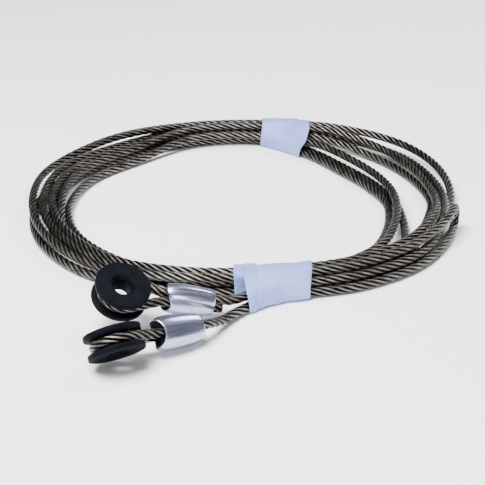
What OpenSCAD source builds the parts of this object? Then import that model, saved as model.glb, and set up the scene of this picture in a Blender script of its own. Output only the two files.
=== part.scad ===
// Wire rope sling: one rope with a thimble eye at each end, coiled in seven turns and held by two tape ties.
// Millimetres, +Z up, resting on Z = 0, origin under the middle of the whole. The eyes lie at the front left.

/* [Rope] */
// Diameter of the wire rope
rope_d = 6.35; // [6.2:0.05:6.4]
// Sides of the rope's simplified outline
rope_sides = 8; // [8:2:12]
// Rings between two stations of the coil
rings_per_station = 3; // [2:1:4]

/* [Thimbles] */
// Outer diameter of a thimble's flanges
thimble_d = 35.2; // [34:0.2:36]
// Thickness of a thimble over both flanges
thimble_t = 15; // [14:0.5:16]
// Diameter of the bore for a three eighths inch pin
bore_d = 10.6; // [10:0.1:11]
// Depth of the flare at each end of the bore
flare = 2.8; // [2:0.1:3.2]
// Radius of the rope's centreline in the groove
groove_r = 12.6; // [12.4:0.1:12.8]
// Gap between the rope and its groove
groove_gap = 0.35; // [0.3:0.05:0.4]

/* [Ferrules] */
// Length of a pressed ferrule
ferrule_l = 32; // [30:0.5:33]
// Width of a ferrule at its fullest, square to the eye
ferrule_w = 21; // [19:0.5:22]
// Thickness of a ferrule in the plane of the eye
ferrule_t = 16.9; // [16.4:0.1:17.4]
// Distance from the centre of a thimble to the mouth of its ferrule
ferrule_reach = 27; // [27:0.1:28]
// Depth of the scoop in the mouth of a ferrule, between its two ears
mouth_depth = 4; // [2:0.5:5]

/* [Ties] */
// Thickness of the tape of a tie
tape_t = 0.5; // [0.3:0.05:0.5]
// Gap between the tape and the strands at its corners
tape_gap = 0.225; // [0.15:0.025:0.3]

/* [Hidden] */

TURNS = 7;
PITCH = 1.1 * rope_d;
ROW = 0.92 * rope_d;
FLOOR_Z = rope_d / 2 + tape_gap + tape_t;
// Axis of the coil, seen from the middle of the part's footprint
COIL_AT = [-0.73, 52.25, 0];
// Half of the gap at each flex point, where the rope bends between two nodes
FLEX_GAP = 0.65;
STEEL = "#6f6f68";
ALUMINIUM = "#b9bdcb";
BLACK = "#1e232a";
TAPE = "#c3cee0";
FN = 96;

// Coil stations: [azimuth, radius, [lane, layer] of each turn]. A lane is one pitch wide, a layer one row high.
STATIONS = [
    [-80, 143.0, [[1.4, 1.08], [0, 1], [-0.5, 2], [-1, 1], [-1.5, 0], [-0.5, 0], [0.5, 0]]],
    [-60, 146.0, [[1.05, 1.06], [0, 1], [-0.5, 2], [-1.8, 1], [-2.6, 0], [-0.7, 0], [0.5, 0]]],
    [-40, 149.0, [[1, 1], [0, 1], [-0.5, 2.1], [-3.1, 1], [-4, 0], [-1.3, 0], [0.5, 0]]],
    [-25, 146.0, [[0.9, 1], [-0.9, 0.7], [-0.3, 2.05], [-3.8, 1], [-4.6, 0], [-2.6, 0], [0.4, 0]]],
    [-12, 144.0, [[0.8, 1.2], [-0.8, 0.5], [-0.1, 1.8], [-4.1, 1.1], [-4.9, 0], [-3.5, 0], [0.5, 0]]],
    [0, 143.5, [[0.9, 1.1], [-0.4, 0.12], [-0.1, 1.2], [-4.3, 1.2], [-5.1, 0], [-4.1, 0], [1.7, 0.2]]],
    [20, 146.0, [[0.7, 1], [-0.6, 0], [-0.3, 1.1], [-4.7, 1], [-6.2, 0], [-5.2, 0], [2.6, 1]]],
    [42, 152.0, [[1.2, 0.3], [-1, 0], [0.1, 1], [-5.3, 1.2], [-6.9, 0], [-5.9, 0], [2.4, 1.4]]],
    [62, 148.0, [[1.5, 0.5], [-0.4, 0.75], [0.3, 1.9], [-3.3, 1.3], [-4.5, 0], [-3.4, 0], [1.4, 2]]],
    [83, 142.5, [[1.1, 1.05], [0, 1.15], [-0.5, 2.25], [-1.2, 1], [-0.55, 0], [0.55, 0], [0.65, 2.15]]],
    [108, 143.0, [[1.3, 1], [0.1, 1], [-0.5, 2], [-1.3, 1], [-0.6, 0], [0.5, 0], [0.7, 2.1]]],
    [132, 144.0, [[0.7, 1], [-0.4, 1], [-1.4, 1.1], [-2.9, 0.1], [-1, 0], [0.1, 0], [1.2, 2.1]]],
    [156, 143.0, [[1.2, 1.2], [0.1, 1], [-0.9, 1], [-2.3, 0], [-0.4, 0], [0.6, 0], [2.7, 1]]],
    [180, 142.5, [[0.8, 1.2], [-0.2, 1.2], [-1.25, 1.05], [-2, 0], [-0.4, 0], [1.5, 0], [1.9, 1.3]]],
    [205, 143.0, [[0.5, 1.2], [-0.5, 1.2], [-0.9, 0.12], [-1.9, 0], [0.2, 0], [2, 0], [1.6, 1.1]]],
    [230, 143.5, [[0.5, 1], [-0.5, 1], [-1, 0], [-2, 0], [0, 0], [2, 0], [1.5, 1]]],
    [255, 143.0, [[0.4, 1], [-0.5, 1.6], [-1.3, 0.8], [-2, 0], [-0.3, 0], [1, 0], [1.2, 1.8]]]
];
N_ST = len(STATIONS);

// Hand laid stretches, heights above the centre of the lowest strands. From the upper tail into the coil ...
FLEX_UPPER = [-9, -169.5, 5.4];
LEAD = [[8, -160.5, 6.2]];
// ... and, as [azimuth, radius, height], from the last turn to the sharp bend at the right and back ...
RETURN_OUT = [[-80, 146.4, 11.9], [-60, 149.8, 12.3], [-40, 152.8, 12.7], [-27, 155.5, 14.3], [-21, 156.6, 15.1]];
BEND = [-16, 157.5, 7.6];
RETURN_BACK = [[-21, 157.8, 0.2], [-27, 158.2, 0], [-40, 159.5, 0], [-60, 157.6, 0], [-80, 155, 0]];
// ... out of the front tie and along the lower tail
TAIL_IN = [[13, -159.2, 0]];
FLEX_LOWER = [-2, -174, 0.3];
TAIL_OUT = [[-13, -191, 2.3]];

// Place of each eye: centre of the thimble, [roll, pitch, yaw], and the side of the live leg
LOWER_EYE = [[-75.1, -240.2, 17.4], [-40.5, 6.5, 33.5], -1];
UPPER_EYE = [[-75, -188.7, 25], [26.5, 13.3, 11.6], 1];
LEG_Y = 3.4;
STUB_LOWER = 1.5;
STUB_UPPER = 5;

// ---- small vector and curve functions ----

function polar(az, r, z) = [r * cos(az), r * sin(az), z];
function unit(v) = v / norm(v);
function slope(p, i) =
    i == 0 ? unit(p[1] - p[0]) :
    i == len(p) - 1 ? unit(p[i] - p[i - 1]) :
    let (a = norm(p[i] - p[i - 1]), b = norm(p[i + 1] - p[i]))
    ((p[i + 1] - p[i]) * a / b + (p[i] - p[i - 1]) * b / a) / (a + b);
function along(p, i, t) =
    let (h = norm(p[i + 1] - p[i]), t2 = t * t, t3 = t2 * t)
    (2 * t3 - 3 * t2 + 1) * p[i] + (t3 - 2 * t2 + t) * h * slope(p, i)
    + (3 * t2 - 2 * t3) * p[i + 1] + (t3 - t2) * h * slope(p, i + 1);
// Points of a smooth curve through p, from point first to point last, with n steps between two points
function curve(p, first, last, n) = concat(
    [for (i = [first : last - 1], k = [0 : n - 1]) along(p, i, k / n)],
    [p[last]]
);
// Direction of a polyline at point i, given its directions at both ends
function heading(c, i, first_dir, last_dir) =
    i == 0 ? unit(first_dir) :
    i == len(c) - 1 ? unit(last_dir) :
    unit(unit(c[i + 1] - c[i]) + unit(c[i] - c[i - 1]));

// Euler rotation of a vector by [roll, pitch, yaw]
function turned(v, a) =
    let (
        p = [v.x, v.y * cos(a.x) - v.z * sin(a.x), v.y * sin(a.x) + v.z * cos(a.x)],
        q = [p.x * cos(a.y) + p.z * sin(a.y), p.y, p.z * cos(a.y) - p.x * sin(a.y)]
    )
    [q.x * cos(a.z) - q.y * sin(a.z), q.x * sin(a.z) + q.y * cos(a.z), q.z];
function eye_point(eye, v) = eye[0] + turned(v, eye[1]);

// ---- the route of the rope, from one ferrule to the other ----

function raised(v) = v + [0, 0, FLOOR_Z];
function lane_point(k, turn) =
    let (s = STATIONS[k], lane = s[2][turn])
    polar(s[0] + 360 * turn, s[1] + lane[0] * PITCH, FLOOR_Z + lane[1] * ROW);
function leg_point(eye, x) = eye_point(eye, [x, eye[2] * LEG_Y, 0]);
FERRULE_MID = ferrule_reach + ferrule_l / 2;
FERRULE_END = ferrule_reach + ferrule_l + 1;
BEND_AT = raised(polar(BEND[0], BEND[1], BEND[2]));
BEND_ALONG = [-sin(BEND[0]), cos(BEND[0]), 0];
ROUTE = concat(
    [leg_point(UPPER_EYE, FERRULE_MID), leg_point(UPPER_EYE, FERRULE_END), raised(FLEX_UPPER)],
    [for (q = LEAD) raised(q)],
    [for (turn = [0 : TURNS - 1], k = [0 : N_ST - 1]) lane_point(k, turn)],
    [for (q = RETURN_OUT) raised(polar(q[0], q[1], q[2]))],
    [for (a = [0 : 30 : 180]) BEND_AT + BEND[2] * (sin(a) * BEND_ALONG + [0, 0, cos(a)])],
    [for (q = RETURN_BACK) raised(polar(q[0], q[1], q[2]))],
    [for (q = TAIL_IN) raised(q)],
    [raised(FLEX_LOWER)],
    [for (q = TAIL_OUT) raised(q)],
    [leg_point(LOWER_EYE, FERRULE_END), leg_point(LOWER_EYE, FERRULE_MID)]
);
// Points of the route where its stretches meet
AT_FLEX_UPPER = 2;
AT_COIL = AT_FLEX_UPPER + 1 + len(LEAD);
AT_RETURN = AT_COIL + TURNS * N_ST;
AT_END = len(ROUTE) - 1;
AT_FLEX_LOWER = AT_END - 2 - len(TAIL_OUT);

// ---- solids ----

// Closed tube along the points of c, its sides lined up with the vertical, or with the radius of the coil
module tube(c, upright, first_dir, last_dir) {
    sides = rope_sides;
    n = len(c);
    rings = [
        for (i = [0 : n - 1])
            let (
                dir = heading(c, i, first_dir, last_dir),
                up = upright ? [0, 0, 1] : unit([c[i].x, c[i].y, 0]),
                side = unit(cross(up, dir)),
                top = cross(dir, side)
            )
            for (k = [0 : sides - 1])
                c[i] + rope_d / 2 * (cos(360 * (k + 0.5) / sides) * side + sin(360 * (k + 0.5) / sides) * top)
    ];
    faces = concat(
        [[for (k = [sides - 1 : -1 : 0]) k]],
        [
            for (i = [0 : n - 2], k = [0 : sides - 1])
                let (a = i * sides, b = (k + 1) % sides)
                each [[a + k, a + b, a + sides + b], [a + k, a + sides + b, a + sides + k]]
        ],
        [[for (k = [0 : sides - 1]) (n - 1) * sides + k]]
    );
    polyhedron(points = rings, faces = [for (f = faces) [for (j = [len(f) - 1 : -1 : 0]) f[j]]], convexity = 10);
}

// Stretch of the rope between two points of the route, cut back at either end by a gap
module rope(first, last, steps, upright = false, gap_first = 0, gap_last = 0) {
    c = curve(ROUTE, first, last, steps);
    n = len(c);
    a = slope(ROUTE, first);
    b = slope(ROUTE, last);
    cut = [for (i = [0 : n - 1]) i == 0 ? c[0] + gap_first * a : i == n - 1 ? c[i] - gap_last * b : c[i]];
    translate(COIL_AT)
        color(STEEL)
            tube(cut, upright, a, b);
}

module rope_turn(turn) {
    first = AT_COIL + (turn - 1) * N_ST;
    if (turn == 1)
        rope(AT_FLEX_UPPER, first + N_ST, rings_per_station, gap_first = FLEX_GAP);
    else
        rope(first, first + N_ST, rings_per_station);
}

module rope_return() {
    rope(AT_RETURN, AT_FLEX_LOWER, 2, gap_last = FLEX_GAP);
}

module rope_tail_lower() {
    rope(AT_FLEX_LOWER, AT_END, 4, upright = true, gap_first = FLEX_GAP);
}

module rope_tail_upper() {
    rope(0, AT_FLEX_UPPER, 4, upright = true, gap_last = FLEX_GAP);
}

// Rope of an eye: out of the ferrule, round the thimble and back to the dead end
module rope_eye(eye, stub) {
    mouth = ferrule_reach - 1;
    reach = norm([mouth, LEG_Y]);
    wrap = acos(groove_r / reach) + atan2(LEG_Y, mouth);
    steps = 16;
    arc = [for (i = [0 : steps]) let (a = wrap + (360 - 2 * wrap) * i / steps) [groove_r * cos(a), groove_r * sin(a), 0]];
    end = ferrule_reach + ferrule_l + stub;
    legs = concat([[FERRULE_MID, LEG_Y, 0], [mouth, LEG_Y, 0]], arc, [[mouth, -LEG_Y, 0], [end, -LEG_Y, 0]]);
    place(eye)
        color(STEEL)
            tube([for (p = legs) [p.x, eye[2] * p.y, 0]], true, [-1, 0, 0], [1, 0, 0]);
}

module place(eye) {
    translate(COIL_AT + eye[0])
        rotate(eye[1])
            children();
}

// Half section of a thimble, its groove open to the rim
function thimble_profile() =
    let (
        r = rope_d / 2 + groove_gap,
        rim = thimble_d / 2,
        half = thimble_t / 2,
        edge = 0.9,
        lip = r + 0.7
    )
    concat(
        [[bore_d / 2, -half + flare], [bore_d / 2 + flare, -half]],
        [[rim - edge, -half], [rim, -half + edge], [rim, -lip]],
        [for (a = [-90 : 10 : 90]) [groove_r - r * cos(a), r * sin(a)]],
        [[rim, lip], [rim, half - edge], [rim - edge, half]],
        [[bore_d / 2 + flare, half], [bore_d / 2, half - flare]]
    );

module thimble(eye) {
    lug = [3, 2.4, 1.6];
    lug_turn = 16;
    lug_z = rope_d / 2 + groove_gap + lug.z / 2;
    place(eye)
        color(BLACK) {
            rotate_extrude($fn = FN)
                polygon(thimble_profile());
            for (a = [-lug_turn, lug_turn], s = [-1, 1])
                rotate(a)
                    translate([thimble_d / 2 - lug.x / 2 - 0.1, 0, s * lug_z])
                        cube(lug, center = true);
        }
}

// Half sections of a ferrule from mouth to tail: [share of its length, share of the full width or thickness]
BARREL = [[0, 0.43], [0.125, 0.475], [0.3, 0.5], [0.5, 0.495], [0.7, 0.47], [0.85, 0.435], [0.96, 0.4], [1, 0.37]];
SIDE = [[0, 0.485], [0.125, 0.495], [0.4, 0.5], [0.62, 0.49], [0.8, 0.47], [0.93, 0.445], [1, 0.41]];
function half_section(shares, size) = [for (q = shares) [q.x * ferrule_l, q.y * size]];
function ferrule_outline() =
    let (h = half_section(SIDE, ferrule_t))
    concat(h, [for (i = [len(h) - 1 : -1 : 0]) [h[i].x, -h[i].y]]);

// Pressed sleeve: a barrel of revolution, flattened in the plane of the eye, with two passages for the rope.
// Its mouth is scooped out between two ears.
module ferrule(eye) {
    passage_r = rope_d / 2 + 0.02;
    ear = 0.42 * ferrule_w;
    scoop_r = (ear * ear + mouth_depth * mouth_depth) / (2 * mouth_depth);
    place(eye)
        translate([ferrule_reach, 0, 0])
            color(ALUMINIUM)
                difference() {
                    intersection() {
                        rotate([0, 90, 0])
                            rotate_extrude($fn = FN) {
                                polygon(concat(
                                    [[0, 0]],
                                    [for (p = half_section(BARREL, ferrule_w)) [p.y, p.x]],
                                    [[0, ferrule_l]]
                                ));
                            }
                        linear_extrude(height = 2 * ferrule_w, center = true)
                            polygon(ferrule_outline());
                    }
                    translate([mouth_depth - scoop_r, 0, 0])
                        rotate([90, 0, 0])
                            cylinder(h = 2 * ferrule_t, r = scoop_r, center = true, $fn = FN);
                    for (s = [-1, 1])
                        translate([-1, s * LEG_Y, 0])
                            rotate([0, 90, 0])
                                cylinder(h = ferrule_l + 2, r = passage_r, $fn = FN);
                }
}

// Points of a rounded polygon round corner circles of radius r, in the plane of [radius, height]
function rounded(corners, r, steps = 4) =
    let (n = len(corners))
    [
        for (i = [0 : n - 1])
            let (
                before = corners[i] - corners[(i + n - 1) % n],
                after = corners[(i + 1) % n] - corners[i],
                a0 = atan2(before.y, before.x) - 90,
                a1 = atan2(after.y, after.x) - 90,
                sweep = (a1 - a0 + 720) % 360
            )
            for (k = [0 : steps])
                corners[i] + r * [cos(a0 + sweep * k / steps), sin(a0 + sweep * k / steps)]
    ];

// Closed band of tape through sections [azimuth, corners], lying gap off the strands
module band(sections, gap, thick) {
    r = rope_d / 2 + gap;
    m = len(rounded(sections[0][1], r));
    n = len(sections);
    skin = [
        for (grow = [0, thick], s = sections)
            for (q = rounded(s[1], r + grow)) raised(polar(s[0], q.x, q.y))
    ];
    outer = n * m;
    walls = [
        for (i = [0 : n - 2], k = [0 : m - 1])
            let (a = i * m + k, b = i * m + (k + 1) % m)
            each [[a, a + m, b], [b, a + m, b + m], [outer + a, outer + b, outer + a + m], [outer + b, outer + b + m, outer + a + m]]
    ];
    rims = [
        for (k = [0 : m - 1])
            let (b = (k + 1) % m, e = (n - 1) * m)
            each [[k, b, outer + k], [b, outer + b, outer + k], [e + k, outer + e + k, e + b], [e + b, outer + e + k, outer + e + b]]
    ];
    translate(COIL_AT)
        polyhedron(points = skin, faces = concat(walls, rims), convexity = 6);
}

// Corners of the bundle under each tie, as [radius, height above the lowest strands]
FRONT_UNDER = [[130.4, 0], [147.2, 0], [148, 11.6], [138.6, 11.4], [134, 6]];
FRONT_89 = [[130.4, 0], [169, 0], [163.6, 6.1], [147.6, 11.8], [138.6, 11.6], [134, 6]];
FRONT_85 = [[131, 0], [159.6, 0], [157.8, 6.4], [147, 12], [138.6, 11.7], [134.3, 6]];
FRONT_80 = [[131.5, 0], [155.2, 0], [153, 6.4], [147, 12.1], [138.8, 11.9], [134.8, 6]];
FRONT_73 = [[130, 0], [154.6, 0], [151.2, 6.5], [147.6, 12.3], [140, 12.1], [134.2, 6.2]];
BACK_70 = [[123, 0], [133, 0], [156, 4.4], [153.5, 12.4], [145, 12.7], [124.5, 6.8]];
BACK_77 = [[130.5, 0], [141.5, 0], [153, 5.3], [149.8, 12.6], [140.5, 13.1], [129.5, 6.3]];
BACK_85 = [[138.3, 0], [146.8, 0], [150.5, 6], [147, 12.8], [138.2, 13.2], [133.6, 5.9]];

// Front tie: the first wrap shows on the left, the second takes in the two tails as well
module tie_front() {
    color(TAPE) {
        band([[-92.4, FRONT_UNDER], [-88, FRONT_UNDER]], tape_gap / 3, tape_t * 2 / 3);
        band([[-89, FRONT_89], [-84.5, FRONT_85], [-80, FRONT_80], [-73, FRONT_73]], tape_gap, tape_t);
    }
}

module tie_back() {
    color(TAPE)
        band([[70, BACK_70], [77, BACK_77], [83, BACK_85], [85, BACK_85]], tape_gap, tape_t);
}

rope_turn(1);  // rope_turn_1
rope_turn(2);  // rope_turn_2
rope_turn(3);  // rope_turn_3
rope_turn(4);  // rope_turn_4
rope_turn(5);  // rope_turn_5
rope_turn(6);  // rope_turn_6
rope_turn(7);  // rope_turn_7
rope_return();
rope_tail_lower();
rope_tail_upper();
rope_eye(LOWER_EYE, STUB_LOWER);  // rope_eye_lower
rope_eye(UPPER_EYE, STUB_UPPER);  // rope_eye_upper
thimble(LOWER_EYE);  // thimble_lower
thimble(UPPER_EYE);  // thimble_upper
ferrule(LOWER_EYE);  // ferrule_lower
ferrule(UPPER_EYE);  // ferrule_upper
tie_front();
tie_back();
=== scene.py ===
"""Looks of a coiled wire rope sling: laid strands, pressed ferrules, solid thimbles and tape ties."""

import math
import random

import bmesh
import bpy
import numpy as np
from mathutils import Matrix, Vector, noise


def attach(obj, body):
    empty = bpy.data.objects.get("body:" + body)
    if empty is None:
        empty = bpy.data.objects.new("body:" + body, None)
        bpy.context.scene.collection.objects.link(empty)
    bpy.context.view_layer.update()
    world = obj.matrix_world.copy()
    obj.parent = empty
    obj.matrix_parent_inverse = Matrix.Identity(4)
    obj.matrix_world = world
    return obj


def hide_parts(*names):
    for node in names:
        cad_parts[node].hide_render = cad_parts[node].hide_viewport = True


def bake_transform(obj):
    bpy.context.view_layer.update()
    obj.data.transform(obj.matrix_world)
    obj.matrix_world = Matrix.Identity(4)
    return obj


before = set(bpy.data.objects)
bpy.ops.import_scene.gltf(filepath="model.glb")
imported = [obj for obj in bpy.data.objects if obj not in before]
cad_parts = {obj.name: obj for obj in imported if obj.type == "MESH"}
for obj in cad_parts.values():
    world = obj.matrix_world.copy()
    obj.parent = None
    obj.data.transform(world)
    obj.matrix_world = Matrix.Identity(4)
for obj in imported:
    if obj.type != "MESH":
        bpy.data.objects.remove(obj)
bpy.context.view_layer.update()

MM = 0.001
ROPE_D = 6.35 * MM
PITCH = 1.1 * ROPE_D
ROW = 0.92 * ROPE_D
FLOOR_Z = 3.9 * MM
COIL_AT = np.array([-0.73, 52.25, 0.0]) * MM

# ---- camera ----

CAMERA_DISTANCE = 0.9874
CAMERA_ELEVATION = math.radians(24.4)
CAMERA_TARGET = Vector((0.0, -0.0599, 0.0)) + Vector(COIL_AT)
CAMERA_LENS = 103.4

camera_data = bpy.data.cameras.new("studio_camera")
camera_data.lens = CAMERA_LENS
camera_data.sensor_width = 36
camera = bpy.data.objects.new("studio_camera", camera_data)
bpy.context.scene.collection.objects.link(camera)
camera.location = CAMERA_TARGET + CAMERA_DISTANCE * Vector(
    (0, -math.cos(CAMERA_ELEVATION), math.sin(CAMERA_ELEVATION))
)
camera.rotation_euler = (math.radians(90) - CAMERA_ELEVATION, 0, 0)
bpy.context.scene.camera = camera


# ---- the route of the rope ----

# Coil stations: azimuth, radius in metres, and the place of each of the seven turns as (lane, layer):
# lanes outwards from the radius in rope pitches, layers upwards in rows
STATIONS = (
    (-80, 0.1430, ((1.4, 1.08), (0, 1), (-0.5, 2), (-1, 1), (-1.5, 0), (-0.5, 0), (0.5, 0))),
    (-60, 0.1460, ((1.05, 1.06), (0, 1), (-0.5, 2), (-1.8, 1), (-2.6, 0), (-0.7, 0), (0.5, 0))),
    (-40, 0.1490, ((1, 1), (0, 1), (-0.5, 2.1), (-3.1, 1), (-4, 0), (-1.3, 0), (0.5, 0))),
    (-25, 0.1460, ((0.9, 1), (-0.9, 0.7), (-0.3, 2.05), (-3.8, 1), (-4.6, 0), (-2.6, 0), (0.4, 0))),
    (-12, 0.1440, ((0.8, 1.2), (-0.8, 0.5), (-0.1, 1.8), (-4.1, 1.1), (-4.9, 0), (-3.5, 0), (0.5, 0))),
    (0, 0.1435, ((0.9, 1.1), (-0.4, 0.12), (-0.1, 1.2), (-4.3, 1.2), (-5.1, 0), (-4.1, 0), (1.7, 0.2))),
    (20, 0.1460, ((0.7, 1), (-0.6, 0), (-0.3, 1.1), (-4.7, 1), (-6.2, 0), (-5.2, 0), (2.6, 1))),
    (42, 0.1520, ((1.2, 0.3), (-1, 0), (0.1, 1), (-5.3, 1.2), (-6.9, 0), (-5.9, 0), (2.4, 1.4))),
    (62, 0.1480, ((1.5, 0.5), (-0.4, 0.75), (0.3, 1.9), (-3.3, 1.3), (-4.5, 0), (-3.4, 0), (1.4, 2))),
    (83, 0.1425, ((1.1, 1.05), (0, 1.15), (-0.5, 2.25), (-1.2, 1), (-0.55, 0), (0.55, 0), (0.65, 2.15))),
    (108, 0.1430, ((1.3, 1), (0.1, 1), (-0.5, 2), (-1.3, 1), (-0.6, 0), (0.5, 0), (0.7, 2.1))),
    (132, 0.1440, ((0.7, 1), (-0.4, 1), (-1.4, 1.1), (-2.9, 0.1), (-1, 0), (0.1, 0), (1.2, 2.1))),
    (156, 0.1430, ((1.2, 1.2), (0.1, 1), (-0.9, 1), (-2.3, 0), (-0.4, 0), (0.6, 0), (2.7, 1))),
    (180, 0.1425, ((0.8, 1.2), (-0.2, 1.2), (-1.25, 1.05), (-2, 0), (-0.4, 0), (1.5, 0), (1.9, 1.3))),
    (205, 0.1430, ((0.5, 1.2), (-0.5, 1.2), (-0.9, 0.12), (-1.9, 0), (0.2, 0), (2, 0), (1.6, 1.1))),
    (230, 0.1435, ((0.5, 1), (-0.5, 1), (-1, 0), (-2, 0), (0, 0), (2, 0), (1.5, 1))),
    (255, 0.1430, ((0.4, 1), (-0.5, 1.6), (-1.3, 0.8), (-2, 0), (-0.3, 0), (1, 0), (1.2, 1.8))),
)
TURNS = 7

# Laid points given in metres, heights above the centre of the lowest strands
FLEX_UPPER = (-0.009, -0.1695, 0.0054)
LEAD = (0.008, -0.1605, 0.0062)
# The last pass, as (azimuth, radius, height): out along the top, round the sharp bend and back underneath
RETURN_OUT = (
    (-80, 0.1464, 0.0119),
    (-60, 0.1498, 0.0123),
    (-40, 0.1528, 0.0127),
    (-27, 0.1555, 0.0143),
    (-21, 0.1566, 0.0151),
)
BEND_AZIMUTH = -16
BEND_RADIUS = 0.1575
BEND_SIZE = 0.0076
RETURN_BACK = (
    (-21, 0.1578, 0.0002),
    (-27, 0.1582, 0),
    (-40, 0.1595, 0),
    (-60, 0.1576, 0),
    (-80, 0.155, 0),
)
TAIL_IN = (0.013, -0.1592, 0)
FLEX_LOWER = (-0.002, -0.174, 0.0003)
TAIL_OUT = (-0.013, -0.191, 0.0023)

# Each leg of an eye lies this far from its middle line, and the ferrule starts this far from its centre
LEG_Y = 3.4 * MM
FERRULE_REACH = 27 * MM
FERRULE_L = 32 * MM


def polar(azimuth, radius, height):
    a = math.radians(azimuth)
    return (radius * math.cos(a), radius * math.sin(a), height)


def raised(point):
    return np.array(point, float) + (0, 0, FLOOR_Z) + COIL_AT


class Eye:
    """The place of one eye.

    Its local X runs towards the ferrule and its local Z along the bore of the thimble. side says on
    which side of X the long leg lies, and stub is how far the dead end stands out of the ferrule.
    """

    def __init__(self, name, centre, roll, pitch, yaw, side, stub):
        self.name = name
        self.side = side
        self.stub = stub
        turn = Matrix.Rotation(math.radians(yaw), 4, "Z") @ Matrix.Rotation(math.radians(pitch), 4, "Y")
        turn = turn @ Matrix.Rotation(math.radians(roll), 4, "X")
        self.matrix = Matrix.Translation(Vector(centre) + Vector(COIL_AT)) @ turn

    def at(self, x, y, z=0.0):
        return np.array(self.matrix @ Vector((x, self.side * y, z)))


LOWER = Eye("lower", (-0.0751, -0.2402, 0.0174), -40.5, 6.5, 33.5, -1, 1.5 * MM)
UPPER = Eye("upper", (-0.075, -0.1887, 0.025), 26.5, 13.3, 11.6, 1, 5 * MM)
EYES = (LOWER, UPPER)


def route_points():
    """Every laid point of the rope from the upper ferrule to the lower one, and where stretches meet."""
    middle = FERRULE_REACH + FERRULE_L / 2
    end = FERRULE_REACH + FERRULE_L + MM
    points = [UPPER.at(middle, LEG_Y), UPPER.at(end, LEG_Y), raised(FLEX_UPPER), raised(LEAD)]
    marks = {"flex_upper": 2}
    for turn in range(TURNS):
        marks[f"turn_{turn + 1}"] = len(points)
        for azimuth, radius, lanes in STATIONS:
            lane, layer = lanes[turn]
            points.append(raised(polar(azimuth, radius + lane * PITCH, layer * ROW)))
    marks["return"] = len(points)
    points += [raised(polar(*q)) for q in RETURN_OUT]
    centre = raised(polar(BEND_AZIMUTH, BEND_RADIUS, BEND_SIZE))
    a = math.radians(BEND_AZIMUTH)
    onward = np.array([-math.sin(a), math.cos(a), 0])
    for degrees in range(0, 181, 30):
        b = math.radians(degrees)
        points.append(centre + BEND_SIZE * (math.sin(b) * onward + np.array([0, 0, math.cos(b)])))
    points += [raised(polar(*q)) for q in RETURN_BACK]
    marks["tail_lower"] = len(points) - 1
    points += [raised(TAIL_IN), raised(FLEX_LOWER), raised(TAIL_OUT)]
    marks["flex_lower"] = len(points) - 2
    points += [LOWER.at(end, LEG_Y), LOWER.at(middle, LEG_Y)]
    return np.array(points), marks


def smooth_curve(points, steps=16):
    """A curve through the points, and the distance along it at which each of them lies."""
    spans = np.linalg.norm(np.diff(points, axis=0), axis=1)[:, None]
    chords = np.diff(points, axis=0) / spans
    inner = (chords[1:] * spans[:-1] + chords[:-1] * spans[1:]) / (spans[:-1] + spans[1:])
    slopes = np.vstack([chords[:1], inner, chords[-1:]])
    t = np.linspace(0, 1, steps, endpoint=False)[:, None]
    rows = [
        (2 * t**3 - 3 * t**2 + 1) * p
        + (t**3 - 2 * t**2 + t) * h * a
        + (3 * t**2 - 2 * t**3) * q
        + (t**3 - t**2) * h * b
        for p, q, h, a, b in zip(points[:-1], points[1:], spans, slopes[:-1], slopes[1:])
    ]
    line = np.vstack(rows + [points[-1:]])
    run = np.concatenate([[0], np.cumsum(np.linalg.norm(np.diff(line, axis=0), axis=1))])
    return line, run, run[::steps]


# Six strands round a core. The lay is the length in which a strand goes once round the rope.
STRANDS = 6
LAY = 6.3 * ROPE_D
RINGS_PER_LAY = 18
STRAND_R = ROPE_D / 6
STRAND_OFF_AXIS = ROPE_D / 3
# Directions in degrees of the outline points on the outer side of a strand
STRAND_ARC = (-98, -66, -33, 0, 33, 66, 98)
# Share of the arc over which the crest value falls, so that it stays above zero at its ends
# The crest value also sets the painted shade between strands and the painted highlight on their crowns in
# the steel colour
CREST_FALL = 0.9


def strand_profile():
    """Outline of the rope, straight across it: the outer arc of each strand, as (x, y, crest)."""
    outline = []
    for strand in range(STRANDS):
        turn = 2 * math.pi * strand / STRANDS
        for degrees in STRAND_ARC:
            a = math.radians(degrees)
            x = STRAND_OFF_AXIS + STRAND_R * math.cos(a)
            y = STRAND_R * math.sin(a)
            r, phi = math.hypot(x, y), math.atan2(y, x) + turn
            outline.append((r * math.cos(phi), r * math.sin(phi), math.cos(a * CREST_FALL)))
    return outline


PROFILE = strand_profile()


def laid_frames(line, run, start, stop):
    """Evenly spaced frames of the rope along a line: place, heading and distance along it."""
    count = max(2, round((stop - start) / (LAY / RINGS_PER_LAY)))
    reach = np.linspace(start, stop, count + 1)
    spots = np.array([np.interp(reach, run, line[:, k]) for k in range(3)]).T
    heads = np.array([np.interp(reach, run, np.gradient(line[:, k], run)) for k in range(3)]).T
    return [(Vector(p), Vector(t).normalized(), s) for p, t, s in zip(spots, heads, reach)]


def carried_normals(frames):
    """One vector square to the rope at each frame, carried along without twist."""
    normal = frames[0][1].orthogonal().normalized()
    out = [normal]
    for (_, before, _), (_, after, _) in zip(frames[:-1], frames[1:]):
        normal = before.rotation_difference(after) @ normal
        normal = (normal - after * normal.dot(after)).normalized()
        out.append(normal)
    return out


def finished(name, bm, smooth=True):
    mesh = bpy.data.meshes.new(name)
    for face in bm.faces:
        face.smooth = smooth
    bm.to_mesh(mesh)
    bm.free()
    obj = bpy.data.objects.new(name, mesh)
    bpy.context.scene.collection.objects.link(obj)
    return obj


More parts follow.
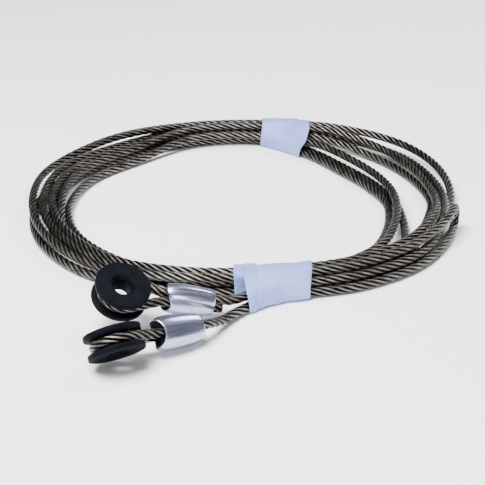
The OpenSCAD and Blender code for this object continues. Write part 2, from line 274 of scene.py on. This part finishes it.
def lay_rope(name, frames, normals):
    """One stretch of rope: the strand outline drawn from frame to frame, twisting with the lay."""
    bm = bmesh.new()
    index = bm.verts.layers.int.new("index")
    ring_no = bm.verts.layers.int.new("ring")
    crest = bm.verts.layers.float.new("crest")
    n = len(PROFILE)

    def put(vert, i):
        spot, head, s = frames[i]
        x = normals[i]
        y = head.cross(x)
        twist = 2 * math.pi * s / LAY
        px, py, _ = PROFILE[vert[index]]
        u = px * math.cos(twist) - py * math.sin(twist)
        v = px * math.sin(twist) + py * math.cos(twist)
        vert.co = spot + x * u + y * v
        vert[ring_no] = i

    ring = [bm.verts.new((0, 0, 0)) for _ in PROFILE]
    for k, vert in enumerate(ring):
        vert[index] = k
        vert[crest] = PROFILE[k][2]
        put(vert, 0)
    edges = [bm.edges.new((ring[k], ring[(k + 1) % n])) for k in range(n)]
    first = bm.faces.new(ring[::-1])
    for i in range(1, len(frames)):
        grown = bmesh.ops.extrude_edge_only(bm, edges=edges)["geom"]
        for vert in (g for g in grown if isinstance(g, bmesh.types.BMVert)):
            put(vert, i)
        drawn = [g for g in grown if isinstance(g, bmesh.types.BMEdge)]
        edges = [e for e in drawn if e.verts[0][ring_no] == e.verts[1][ring_no] == i]
    last = bmesh.ops.contextual_create(bm, geom=edges)["faces"]
    bmesh.ops.recalc_face_normals(bm, faces=bm.faces)
    uv = bm.loops.layers.uv.new("UVMap")
    caps = {first, *last}
    for face in bm.faces:
        if face in caps:
            continue
        wraps = {loop.vert[index] for loop in face.loops} >= {0, n - 1}
        for loop in face.loops:
            k = loop.vert[index]
            around = (n if wraps and k == 0 else k) / n
            s = frames[loop.vert[ring_no]][2]
            loop[uv].uv = (around + s / LAY, s / (math.pi * ROPE_D))
    return finished(name, bm)


# ---- materials ----


def linear(hex_code):
    """An sRGB hex colour as linear RGBA."""
    channels = [int(hex_code[i : i + 2], 16) / 255 for i in (1, 3, 5)]
    return [c / 12.92 if c <= 0.04045 else ((c + 0.055) / 1.055) ** 2.4 for c in channels] + [1.0]


def add(tree, kind, settings=None, **links):
    """Adds a node, sets its properties and values, and links its inputs by name or number (i0, i1)."""
    node = tree.nodes.new(kind)
    for key, value in (settings or {}).items():
        if isinstance(key, int) or key in node.inputs:
            node.inputs[key].default_value = value
        else:
            setattr(node, key, value)
    for key, source in links.items():
        by_number = key[0] == "i" and key[1:].isdigit()
        socket = node.inputs[int(key[1:]) if by_number else key.replace("_", " ")]
        tree.links.new(source, socket)
    return node


def ramp(tree, source, stops):
    node = add(tree, "ShaderNodeValToRGB", Fac=source)
    band = node.color_ramp.elements
    while len(band) < len(stops):
        band.new(0.5)
    for element, (place, colour) in zip(band, stops):
        element.position = place
        element.color = linear(colour)
    return node.outputs["Color"]


def new_material(name, **values):
    material = bpy.data.materials.new(name)
    material.use_nodes = True
    shader = material.node_tree.nodes["Principled BSDF"]
    for key, value in values.items():
        shader.inputs[key.replace("_", " ")].default_value = value
    return material, material.node_tree, shader


# Wires of about 0.45 mm that lie side by side round the rope
WIRES_ROUND = 42


def drawn_steel_rope():
    # Bright drawn steel wire, stranded: painted pinkish highlights on the crowns of the strands and painted
    # shade, near black, between them.
    material, tree, shader = new_material("drawn_steel_wire_rope", Metallic=1.0)
    crest = add(tree, "ShaderNodeAttribute", {"attribute_name": "crest"}).outputs["Fac"]
    uv = add(tree, "ShaderNodeUVMap", {"uv_map": "UVMap"}).outputs["UV"]
    split = add(tree, "ShaderNodeSeparateXYZ", Vector=uv)
    turns = {"operation": "MULTIPLY", 1: 2 * math.pi * WIRES_ROUND}
    wires = add(tree, "ShaderNodeMath", turns, i0=split.outputs["X"])
    wave = add(tree, "ShaderNodeMath", {"operation": "SINE"}, i0=wires.outputs[0])
    grime = add(tree, "ShaderNodeTexNoise", {"Scale": 160.0, "Detail": 4.0, "Roughness": 0.6},
                Vector=add(tree, "ShaderNodeTexCoord").outputs["Object"])
    # Painted light: the crest value makes the colour near black in the valleys between strands (painted
    # shade) and bright on the crowns (painted highlight)
    base = ramp(tree, crest, [(0.0, "#030303"), (0.45, "#171614"), (0.78, "#4c4a46"), (1.0, "#a09a98")])
    stain = ramp(tree, grime.outputs["Fac"], [(0.32, "#8f9085"), (0.66, "#ffffff")])
    multiply = {"data_type": "RGBA", "blend_type": "MULTIPLY", 0: 1.0}
    mixed = add(tree, "ShaderNodeMix", multiply, i6=base, i7=stain)
    tree.links.new(mixed.outputs[2], shader.inputs["Base Color"])
    rough = add(tree, "ShaderNodeMapRange", {"To Min": 0.22, "To Max": 0.38}, Value=grime.outputs["Fac"])
    tree.links.new(rough.outputs[0], shader.inputs["Roughness"])
    bump = add(tree, "ShaderNodeBump", {"Strength": 0.5, "Distance": 0.00012}, Height=wave.outputs[0])
    tree.links.new(bump.outputs[0], shader.inputs["Normal"])
    return material


def pressed_aluminium():
    # Aluminium sleeve pressed in a die: satin, faint streaks drawn lengthwise, small dents.
    material, tree, shader = new_material("pressed_aluminium", Metallic=1.0)
    uv = add(tree, "ShaderNodeUVMap", {"uv_map": "UVMap"}).outputs["UV"]
    # The barrel is 60 mm round and 32 mm long, so a streak is 1 mm wide and about 10 mm long
    stretch = add(tree, "ShaderNodeMapping", {"Scale": (60.0, 3.0, 1.0)}, Vector=uv)
    streaks = add(tree, "ShaderNodeTexNoise", {"Scale": 1.0, "Detail": 5.0}, Vector=stretch.outputs[0])
    dents = add(tree, "ShaderNodeTexNoise", {"Scale": 260.0, "Detail": 2.0},
                Vector=add(tree, "ShaderNodeTexCoord").outputs["Object"])
    base = ramp(tree, streaks.outputs["Fac"], [(0.3, "#8c91b0"), (0.7, "#bcc0da")])
    tree.links.new(base, shader.inputs["Base Color"])
    rough = add(tree, "ShaderNodeMapRange", {"To Min": 0.2, "To Max": 0.34}, Value=streaks.outputs["Fac"])
    tree.links.new(rough.outputs[0], shader.inputs["Roughness"])
    relief = add(tree, "ShaderNodeMath", {"operation": "ADD"},
                 i0=streaks.outputs["Fac"], i1=dents.outputs["Fac"])
    bump = add(tree, "ShaderNodeBump", {"Strength": 0.15, "Distance": 0.0002}, Height=relief.outputs[0])
    tree.links.new(bump.outputs[0], shader.inputs["Normal"])
    return material


def black_coating():
    # Black coated steel: a satin navy black with a fine orange peel, scuffed browner here and there.
    material, tree, shader = new_material("black_coated_steel", Metallic=0.0, Specular_IOR_Level=0.04)
    spot = add(tree, "ShaderNodeTexCoord").outputs["Object"]
    peel = add(tree, "ShaderNodeTexNoise", {"Scale": 1400.0, "Detail": 2.0}, Vector=spot)
    cloud = add(tree, "ShaderNodeTexNoise", {"Scale": 90.0, "Detail": 5.0}, Vector=spot)
    base = ramp(tree, cloud.outputs["Fac"], [(0.3, "#030508"), (0.6, "#070b11"), (0.85, "#100f0d")])
    tree.links.new(base, shader.inputs["Base Color"])
    rough = add(tree, "ShaderNodeMapRange", {"To Min": 0.5, "To Max": 0.68}, Value=cloud.outputs["Fac"])
    tree.links.new(rough.outputs[0], shader.inputs["Roughness"])
    bump = add(tree, "ShaderNodeBump", {"Strength": 0.25, "Distance": 0.0001}, Height=peel.outputs["Fac"])
    tree.links.new(bump.outputs[0], shader.inputs["Normal"])
    return material


def wrapping_tape():
    # Pale grey blue plastic tape, satin, with soft puckers where it was pulled round the coil.
    material, tree, shader = new_material("wrapping_tape", Metallic=0.0, Specular_IOR_Level=0.3)
    spot = add(tree, "ShaderNodeTexCoord").outputs["Object"]
    cloud = add(tree, "ShaderNodeTexNoise", {"Scale": 55.0, "Detail": 3.0}, Vector=spot)
    base = ramp(tree, cloud.outputs["Fac"], [(0.3, "#738ac4"), (0.7, "#8f97d4")])
    tree.links.new(base, shader.inputs["Base Color"])
    rough = add(tree, "ShaderNodeMapRange", {"To Min": 0.34, "To Max": 0.5}, Value=cloud.outputs["Fac"])
    tree.links.new(rough.outputs[0], shader.inputs["Roughness"])
    pucker = add(tree, "ShaderNodeTexNoise", {"Scale": 170.0, "Detail": 3.0}, Vector=spot)
    bump = add(tree, "ShaderNodeBump", {"Strength": 0.35, "Distance": 0.0006}, Height=pucker.outputs["Fac"])
    tree.links.new(bump.outputs[0], shader.inputs["Normal"])
    return material


def mouth_painted_shade():
    # The same aluminium inside the mouth of a sleeve, painted near black as shade in the recess.
    material, _, shader = new_material("aluminium_mouth_painted_shade", Roughness=0.8, Specular_IOR_Level=0.1)
    shader.inputs["Base Color"].default_value = linear("#0b0c0e")
    return material


STEEL = drawn_steel_rope()
MOUTH_SHADE = mouth_painted_shade()
ALUMINIUM = pressed_aluminium()
BLACK = black_coating()
TAPE = wrapping_tape()


def dress(obj, material):
    obj.data.materials.append(material)


# ---- the rope ----

points, marks = route_points()
LINE, RUN, STOPS = smooth_curve(points)


def rope_piece(name, first, last, node):
    """The stretch of rope between two laid points, standing for one CAD node."""
    frames = laid_frames(LINE, RUN, STOPS[first], STOPS[last])
    nearest = [np.searchsorted(ALL_REACH, s) if s < ALL_REACH[-1] else -1 for _, _, s in frames]
    normals = [ALL_NORMALS[k] for k in nearest]
    normals = [(n - t * n.dot(t)).normalized() for n, (_, t, _) in zip(normals, frames)]
    obj = lay_rope(name, frames, normals)
    dress(obj, STEEL)
    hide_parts(node)
    return obj


all_frames = laid_frames(LINE, RUN, 0.0, RUN[-1])
ALL_NORMALS = carried_normals(all_frames)
ALL_REACH = np.array([s for _, _, s in all_frames])

tail_upper = rope_piece("upper_tail_rope", 0, marks["turn_1"], "rope_tail_upper")
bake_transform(tail_upper)
for turn in range(1, TURNS + 1):
    first = marks[f"turn_{turn}"]
    last = first + len(STATIONS)
    piece = rope_piece(f"coil_turn_{turn}", first, last, f"rope_turn_{turn}")
    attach(piece, "coil")
first, last = marks["return"], marks["tail_lower"]
returning = rope_piece("return_rope", first, last, "rope_return")
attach(returning, "coil")
tail_lower = rope_piece("lower_tail_rope", last, len(points) - 1, "rope_tail_lower")
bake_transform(tail_lower)


# Radius of the rope's centreline in the groove of a thimble, and passes that round its corners
GROOVE_R = 12.6 * MM
EYE_SMOOTHING = 12


def eye_line(eye):
    """Centreline of the rope round a thimble, from the ferrule to the dead end, and the run along it."""
    mouth = FERRULE_REACH - MM
    wrap = math.acos(GROOVE_R / math.hypot(mouth, LEG_Y)) + math.atan2(LEG_Y, mouth)
    angles = np.linspace(wrap, 2 * math.pi - wrap, 60)
    arc = [(GROOVE_R * math.cos(a), GROOVE_R * math.sin(a)) for a in angles]
    end = FERRULE_REACH + FERRULE_L + eye.stub
    flat = [(FERRULE_REACH + FERRULE_L / 2, LEG_Y), (mouth, LEG_Y), *arc, (mouth, -LEG_Y), (end, -LEG_Y)]
    flat = np.array(flat)
    run = np.concatenate([[0], np.cumsum(np.linalg.norm(np.diff(flat, axis=0), axis=1))])
    reach = np.linspace(0, run[-1], 240)
    even = np.array([np.interp(reach, run, flat[:, k]) for k in (0, 1)]).T
    for _ in range(EYE_SMOOTHING):
        even[1:-1] = (even[:-2] + 2 * even[1:-1] + even[2:]) / 4
    line = np.array([eye.at(x, y) for x, y in even])
    run = np.concatenate([[0], np.cumsum(np.linalg.norm(np.diff(line, axis=0), axis=1))])
    return line, run


def cut_wires(eye, frames, normals):
    """The sawn end of the rope: seven strands of nineteen wires, each ending a little short or proud."""
    rng = random.Random(7)
    bm = bmesh.new()
    spot, head, s = frames[-1]
    x = normals[-1]
    y = head.cross(x)
    wire = STRAND_R / 5
    centres = [(0.0, 0.0)] + [
        (ROPE_D / 3 * math.cos(a), ROPE_D / 3 * math.sin(a))
        for a in (2 * math.pi * (k / STRANDS + s / LAY) for k in range(STRANDS))
    ]
    for cx, cy in centres:
        for count, radius in ((1, 0.0), (6, 2 * wire), (12, 4 * wire)):
            for k in range(count):
                a = 2 * math.pi * k / count + rng.uniform(-0.1, 0.1)
                px, py = cx + radius * math.cos(a), cy + radius * math.sin(a)
                length = 0.9 * MM + rng.uniform(-0.25, 0.3) * MM
                place = spot + x * px + y * py + head * (length / 2 - 0.2 * MM)
                turn = head.to_track_quat("Z", "Y").to_matrix().to_4x4()
                bmesh.ops.create_cone(
                    bm, cap_ends=True, segments=6, radius1=wire * 0.95, radius2=wire * 0.8, depth=length,
                    matrix=Matrix.Translation(place) @ turn,
                )
    obj = finished(f"{eye.name}_dead_end_wires", bm, smooth=False)
    dress(obj, CUT_STEEL)
    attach(obj, f"{eye.name}_end")
    return obj


def bare_cut_steel():
    # Sheared wire ends: dull, a little rusty, without the drawn shine.
    material, tree, shader = new_material("sheared_wire_ends", Metallic=0.7)
    speck = add(tree, "ShaderNodeTexNoise", {"Scale": 1800.0, "Detail": 2.0},
                Vector=add(tree, "ShaderNodeTexCoord").outputs["Object"])
    base = ramp(tree, speck.outputs["Fac"], [(0.35, "#0c0a08"), (0.6, "#2c2824"), (0.8, "#6f6a65")])
    tree.links.new(base, shader.inputs["Base Color"])
    rough = add(tree, "ShaderNodeMapRange", {"To Min": 0.45, "To Max": 0.7}, Value=speck.outputs["Fac"])
    tree.links.new(rough.outputs[0], shader.inputs["Roughness"])
    return material


CUT_STEEL = bare_cut_steel()

for eye in EYES:
    line, run = eye_line(eye)
    frames = laid_frames(line, run, 0.0, run[-1])
    normals = carried_normals(frames)
    rope = lay_rope(f"{eye.name}_eye_rope", frames, normals)
    dress(rope, STEEL)
    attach(rope, f"{eye.name}_end")
    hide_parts(f"rope_eye_{eye.name}")
    ends = cut_wires(eye, frames, normals)


# ---- thimbles ----

THIMBLE_R = 17.6 * MM
THIMBLE_HALF = 7.5 * MM
BORE_R = 5.3 * MM
FLARE = 2.8 * MM
GROOVE_GAP = 0.35 * MM
GROOVE_SHOULDER = 0.7 * MM
LUG = Vector((3.0, 2.4, 1.6)) * MM
LUG_ROUNDING = 0.35 * MM
LUG_SET_BACK = 0.1 * MM
# The lugs stand in pairs on each side of the throat, this far round from its middle, in degrees
LUG_ANGLES = (-16, 16)


def soften(bm, width, segments, angle):
    """Rounds every edge sharper than the angle."""
    sharp = [e for e in bm.edges if len(e.link_faces) == 2 and e.calc_face_angle(0) > math.radians(angle)]
    bmesh.ops.bevel(
        bm, geom=sharp, offset=width, offset_type="OFFSET", segments=segments, profile=0.5,
        affect="EDGES", material=-1, clamp_overlap=True,
    )


def make_thimble(eye):
    """A solid thimble turned round its bore, with a rope groove and four small lugs at the throat."""
    r = ROPE_D / 2 + GROOVE_GAP
    lip = r + GROOVE_SHOULDER
    flange = [
        (THIMBLE_R, lip),
        (THIMBLE_R, THIMBLE_HALF),
        (BORE_R + FLARE, THIMBLE_HALF),
        (BORE_R, THIMBLE_HALF - FLARE),
    ]
    outline = [(x, -z) for x, z in reversed(flange)]
    half_turn = np.linspace(-math.pi / 2, math.pi / 2, 13)
    outline += [(GROOVE_R - r * math.cos(a), r * math.sin(a)) for a in half_turn]
    outline += flange
    bm = bmesh.new()
    ring = [bm.verts.new((x, 0, z)) for x, z in outline]
    edges = [bm.edges.new((ring[i], ring[(i + 1) % len(ring)])) for i in range(len(ring))]
    bmesh.ops.spin(
        bm, geom=ring + edges, cent=(0, 0, 0), axis=(0, 0, 1), angle=2 * math.pi, steps=96, use_merge=True,
    )
    bmesh.ops.recalc_face_normals(bm, faces=bm.faces)
    soften(bm, width=0.7 * MM, segments=3, angle=40)
    for degrees in LUG_ANGLES:
        for side in (-1, 1):
            offset = (THIMBLE_R - LUG.x / 2 - LUG_SET_BACK, 0, side * (r + LUG.z / 2))
            place = Matrix.Rotation(math.radians(degrees), 4, "Z") @ Matrix.Translation(offset)
            block = bmesh.ops.create_cube(bm, size=1, matrix=place @ Matrix.Diagonal((*LUG, 1)))["verts"]
            edges = list({e for v in block for e in v.link_edges})
            bmesh.ops.bevel(
                bm, geom=edges, offset=LUG_ROUNDING, offset_type="OFFSET", segments=2, profile=0.5,
                affect="EDGES", material=-1,
            )
    bmesh.ops.transform(bm, matrix=eye.matrix, verts=bm.verts)
    obj = finished(f"{eye.name}_thimble_spool", bm)
    dress(obj, BLACK)
    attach(obj, f"{eye.name}_thimble")
    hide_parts(f"thimble_{eye.name}")
    return obj


for eye in EYES:
    make_thimble(eye)


# ---- ferrules ----

# Distance from the mouth, half width in the plane of the eye and half depth square to it, in mm
FERRULE_SECTIONS = (
    (0.0, 8.0, 8.85),
    (1.0, 8.25, 9.3),
    (4.0, 8.37, 9.98),
    (8.0, 8.41, 10.35),
    (12.0, 8.44, 10.47),
    (16.0, 8.38, 10.4),
    (20.0, 8.27, 10.05),
    (24.0, 8.07, 9.7),
    (28.0, 7.7, 8.98),
    (30.5, 7.4, 8.45),
    (31.6, 7.1, 7.95),
    (32.0, 6.6, 7.2),
)
# The mouth behind the lip, deepest first: distance in millimetres and share of the lip's half widths
MOUTH_ROWS = ((2.6, 0.72), (1.6, 0.78), (0.35, 0.88))
LIP_ROW = (0.12, 0.955)
MOUTH_DEPTH = 3.6
# The scoop of the mouth fades out over this distance from it
SCOOP_FADE = 12
AROUND = 72
# The barrel's cross section is a superellipse of this exponent, a little squarer than an ellipse
SQUARENESS = 2.25
# The die line runs between these distances from the mouth, at this angle round the barrel in degrees
DIE_LINE_RUN = (2, 31)
DIE_LINE_ANGLE = 85
DIE_LINE_WIDTH = 4
DIE_LINE_HEIGHT = 0.56


def make_ferrule(eye):
    """A barrel pressed to an oval, its mouth scooped out between two ears, with a die line along it."""
    bm = bmesh.new()
    index = bm.verts.layers.int.new("index")
    _, lip_y, lip_z = FERRULE_SECTIONS[0]
    rows = [(deep, lip_y * share, lip_z * share, 1.0) for deep, share in (*MOUTH_ROWS, LIP_ROW)]
    rows += [(x, hy, hz, max(0.0, 1 - x / SCOOP_FADE)) for x, hy, hz in FERRULE_SECTIONS]

    def put(vert, row):
        x, hy, hz, scoop = row
        a = 2 * math.pi * vert[index] / AROUND
        c, s = math.cos(a), math.sin(a)
        y = hy * math.copysign(abs(c) ** (2 / SQUARENESS), c)
        z = hz * math.copysign(abs(s) ** (2 / SQUARENESS), s)
        off_line = (math.degrees(a) - DIE_LINE_ANGLE + 90) % 180 - 90
        ridge = 0.0
        if DIE_LINE_RUN[0] < x < DIE_LINE_RUN[1]:
            ridge = DIE_LINE_HEIGHT * math.exp(-((off_line / DIE_LINE_WIDTH) ** 2))
        grow = 1 + ridge / math.hypot(hy, hz)
        cut = MOUTH_DEPTH * scoop * (1 - (z / hz) ** 2) ** 0.8
        vert.co = Vector((FERRULE_REACH + (x + cut) * MM, eye.side * y * grow * MM, z * grow * MM))

    ring = [bm.verts.new((0, 0, 0)) for _ in range(AROUND)]
    for k, vert in enumerate(ring):
        vert[index] = k
        put(vert, rows[0])
    edges = [bm.edges.new((ring[k], ring[(k + 1) % AROUND])) for k in range(AROUND)]
    bm.faces.new(ring)
    row_of = {v: 0 for v in ring}
    for i, row in enumerate(rows[1:], 1):
        grown = bmesh.ops.extrude_edge_only(bm, edges=edges)["geom"]
        fresh = {g for g in grown if isinstance(g, bmesh.types.BMVert)}
        for vert in fresh:
            put(vert, row)
            row_of[vert] = i
        edges = [g for g in grown if isinstance(g, bmesh.types.BMEdge) and set(g.verts) <= fresh]
    bmesh.ops.contextual_create(bm, geom=edges)
    bmesh.ops.recalc_face_normals(bm, faces=bm.faces)
    uv = bm.loops.layers.uv.new("UVMap")
    for face in bm.faces:
        wraps = {loop.vert[index] for loop in face.loops} >= {0, AROUND - 1}
        for loop in face.loops:
            k = loop.vert[index]
            loop[uv].uv = ((AROUND if wraps and k == 0 else k) / AROUND, row_of[loop.vert] / len(rows))
        # Faces of the mouth rows and the deep cap take the near black material, painted shade in the recess
        face.material_index = int(all(row_of[v] <= len(MOUTH_ROWS) for v in face.verts))
    bmesh.ops.transform(bm, matrix=eye.matrix, verts=bm.verts)
    obj = finished(f"{eye.name}_pressed_ferrule", bm)
    dress(obj, ALUMINIUM)
    # Second material: painted shade for the inside of the mouth
    obj.data.materials.append(MOUTH_SHADE)
    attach(obj, f"{eye.name}_end")
    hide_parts(f"ferrule_{eye.name}")
    return obj


for eye in EYES:
    make_ferrule(eye)


# ---- tape ties ----

TAPE_T = 0.35 * MM
# The middle of the tape stays this high above the ground, in millimetres
LOWEST_TAPE = 0.25
# Bundles under the ties, in millimetres: azimuth and the corner strands as (radius, height)
UNDER = ((130.4, 0), (147.2, 0), (148, 11.6), (138.6, 11.4), (134, 6))
UNDER_ROWS = ((-92.4, UNDER), (-71.0, UNDER))
FRONT_ROWS = (
    (-89.0, ((130.4, 0), (169, 0), (163.6, 6.1), (147.6, 11.8), (138.6, 11.6), (134, 6))),
    (-84.5, ((131, 0), (159.6, 0), (157.8, 6.4), (147, 12), (138.6, 11.7), (134.3, 6))),
    (-80.0, ((131.5, 0), (155.2, 0), (153, 6.4), (147, 12.1), (138.8, 11.9), (134.8, 6))),
    (-73.0, ((130, 0), (154.6, 0), (151.2, 6.5), (147.6, 12.3), (140, 12.1), (134.2, 6.2))),
)
BACK_ROWS = (
    (67.0, ((120.5, 0), (131, 0), (157.3, 3.8), (154.5, 12.2), (146, 12.4), (122, 6.9))),
    (70.0, ((123, 0), (133, 0), (156, 4.4), (153.5, 12.4), (145, 12.7), (124.5, 6.8))),
    (77.0, ((130.5, 0), (141.5, 0), (153, 5.3), (149.8, 12.6), (140.5, 13.1), (129.5, 6.3))),
    (83.0, ((138.3, 0), (146.8, 0), (150.5, 6), (147, 12.8), (138.2, 13.2), (133.6, 5.9))),
    (85.0, ((138.3, 0), (146.8, 0), (150.5, 6), (147, 12.8), (138.2, 13.2), (133.6, 5.9))),
)
# Height over which the edges of a tie run from bottom to top, and how late they lean over on the way up
TIE_HEIGHT = 15.0
TIE_LEAN = 1.6
# Points along one turn of the tape and across its width, and the part of a turn by which its end overlaps
TIE_AROUND = 64
TIE_ACROSS = 34
TIE_OVERLAP = 0.12
# Gap under the tape on the strands, and what each further turn adds to it
TAPE_GAP = 0.32
TAPE_LAYER = 0.42
# Height of the long puckers, of the short puckers, of the step at a fold line and of the crease beside it
LONG_PUCKER = 0.5
SHORT_PUCKER = 0.3
FOLD_STEP = 0.45
FOLD_CREASE = 0.8


def corners_at(rows, azimuth):
    """Corner strands of the bundle at an azimuth, between the rows given."""
    known = [a for a, _ in rows]
    table = np.array([c for _, c in rows], float)
    corners = range(table.shape[1])
    return np.array([[np.interp(azimuth, known, table[:, i, k]) for k in (0, 1)] for i in corners])


def loop_round(corners, radius, count):
    """Evenly spaced points of a loop pulled round the strands, from the lower inner corner on."""
    n = len(corners)
    spots = []
    for i in range(n):
        before, after = corners[i] - corners[i - 1], corners[(i + 1) % n] - corners[i]
        a0 = math.atan2(before[1], before[0]) - math.pi / 2
        a1 = math.atan2(after[1], after[0]) - math.pi / 2
        sweep = (a1 - a0) % (2 * math.pi)
        for t in np.linspace(0, 1, 7):
            a = a0 + sweep * t
            spots.append(corners[i] + radius * np.array([math.cos(a), math.sin(a)]))
    spots = np.array(spots + spots[:1])
    run = np.concatenate([[0], np.cumsum(np.linalg.norm(np.diff(spots, axis=0), axis=1))])
    reach = np.linspace(0, run[-1], count, endpoint=False)
    return np.array([np.interp(reach, run, spots[:, k]) for k in (0, 1)]).T


def make_tie(name, node, wraps, edges, fold):
    """A strip of tape wound round the coil, in millimetres until its points are set.

    wraps holds the bundle each turn of tape goes round. edges holds, for each turn, how far its left and
    right edge lie to the right of the coil's axis, as (bottom, top). fold is the same for the fold line.
    """
    side = math.copysign(1, wraps[0][0][0])
    middle = np.mean(corners_at(wraps[-1], wraps[-1][1][0]), axis=0)
    columns = round(TIE_AROUND * (len(wraps) + TIE_OVERLAP))
    bm = bmesh.new()
    index = bm.verts.layers.int.new("index")

    def ring_point(wrap, azimuth, turn):
        radius = ROPE_D / 2 / MM + TAPE_GAP + TAPE_LAYER * turn
        loop = loop_round(corners_at(wraps[wrap], azimuth), radius, TIE_AROUND)
        return loop[round((turn - wrap) * TIE_AROUND) % TIE_AROUND]

    def spot(k, i):
        turn = k / TIE_AROUND
        wrap = min(int(turn), len(wraps) - 1)
        azimuth = wraps[wrap][1][0]
        for _ in range(3):
            r, z = ring_point(wrap, azimuth, turn)
            rise = min(1.0, max(0.0, z / TIE_HEIGHT)) ** TIE_LEAN
            left, right = (low + (high - low) * rise for low, high in edges[wrap])
            x = left + (right - left) * i / TIE_ACROSS
            azimuth = side * math.degrees(math.acos(x / r))
        r, z = ring_point(wrap, azimuth, turn)
        pucker = LONG_PUCKER * noise.noise(Vector((x * 0.11, turn * 9.0, wrap * 3.0)))
        pucker += SHORT_PUCKER * noise.noise(Vector((x * 0.25, turn * 30.0, 5.0)))
        pucker += FOLD_STEP * math.tanh((fold - x) / 0.5)
        pucker -= FOLD_CREASE * math.exp(-(((x - fold) / 0.9) ** 2))
        away = np.array([r, z]) - middle
        r, z = np.array([r, z]) + away / np.linalg.norm(away) * pucker
        x, y, _ = polar(azimuth, r, 0)
        return Vector((x, y, max(z + FLOOR_Z / MM, LOWEST_TAPE))) * MM + Vector(COIL_AT)

    line = [bm.verts.new(spot(k, 0)) for k in range(columns)]
    for k, vert in enumerate(line):
        vert[index] = k
    rim = [bm.edges.new((line[k], line[k + 1])) for k in range(columns - 1)]
    for i in range(1, TIE_ACROSS + 1):
        grown = bmesh.ops.extrude_edge_only(bm, edges=rim)["geom"]
        fresh = {g for g in grown if isinstance(g, bmesh.types.BMVert)}
        for vert in fresh:
            vert.co = spot(vert[index], i)
        rim = [g for g in grown if isinstance(g, bmesh.types.BMEdge) and set(g.verts) <= fresh]
    bmesh.ops.recalc_face_normals(bm, faces=bm.faces)
    obj = finished(name, bm)
    skin = obj.modifiers.new("thickness", "SOLIDIFY")
    skin.thickness = TAPE_T
    skin.offset = 0
    dress(obj, TAPE)
    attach(obj, "coil")
    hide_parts(node)
    return obj


RIGHT_EDGE = (44.0, 45.3)
make_tie(
    "front_tape_tie",
    "tie_front",
    wraps=(UNDER_ROWS, FRONT_ROWS),
    edges=(((-5.0, -5.9), RIGHT_EDGE), ((4.6, 0.5), RIGHT_EDGE)),
    fold=9.8,
)
make_tie(
    "back_tape_tie",
    "tie_back",
    wraps=(BACK_ROWS,),
    edges=(((15.0, 16.5), (46.5, 55.5)),),
    fold=48.0,
)


# ---- studio ----

FLOOR_HALF = 6
AIR_STRENGTH = 0.28
# Softboxes that look at the middle of the coil: place, side of the square in metres, and power in watts
SOFTBOXES = (
    ("key_softbox", (-0.4, -0.45, 1.25), 0.8, 68),
    ("low_front_softbox", (0.35, -1.35, 0.35), 0.45, 8),
    ("rim_softbox", (0.7, 0.7, 1.0), 0.5, 14),
)


def studio():
    bm = bmesh.new()
    bmesh.ops.create_grid(bm, x_segments=2, y_segments=2, size=FLOOR_HALF)
    floor = finished("studio_floor", bm, smooth=False)
    material, _, shader = new_material("pale_studio_floor", Roughness=0.9)
    shader.inputs["Base Color"].default_value = linear("#fbfbfb")
    shader.inputs["Specular IOR Level"].default_value = 0.1
    floor.data.materials.append(material)
    world = bpy.data.worlds.new("studio_air")
    bpy.context.scene.world = world
    world.use_nodes = True
    air = world.node_tree.nodes["Background"]
    air.inputs["Color"].default_value = linear("#ffffff")
    air.inputs["Strength"].default_value = AIR_STRENGTH
    for name, place, size, power in SOFTBOXES:
        light = bpy.data.lights.new(name, "AREA")
        light.size = size
        light.energy = power
        lamp = bpy.data.objects.new(name, light)
        bpy.context.scene.collection.objects.link(lamp)
        lamp.location = place
        lamp.rotation_euler = (-Vector(place)).to_track_quat("-Z", "Y").to_euler()


studio()
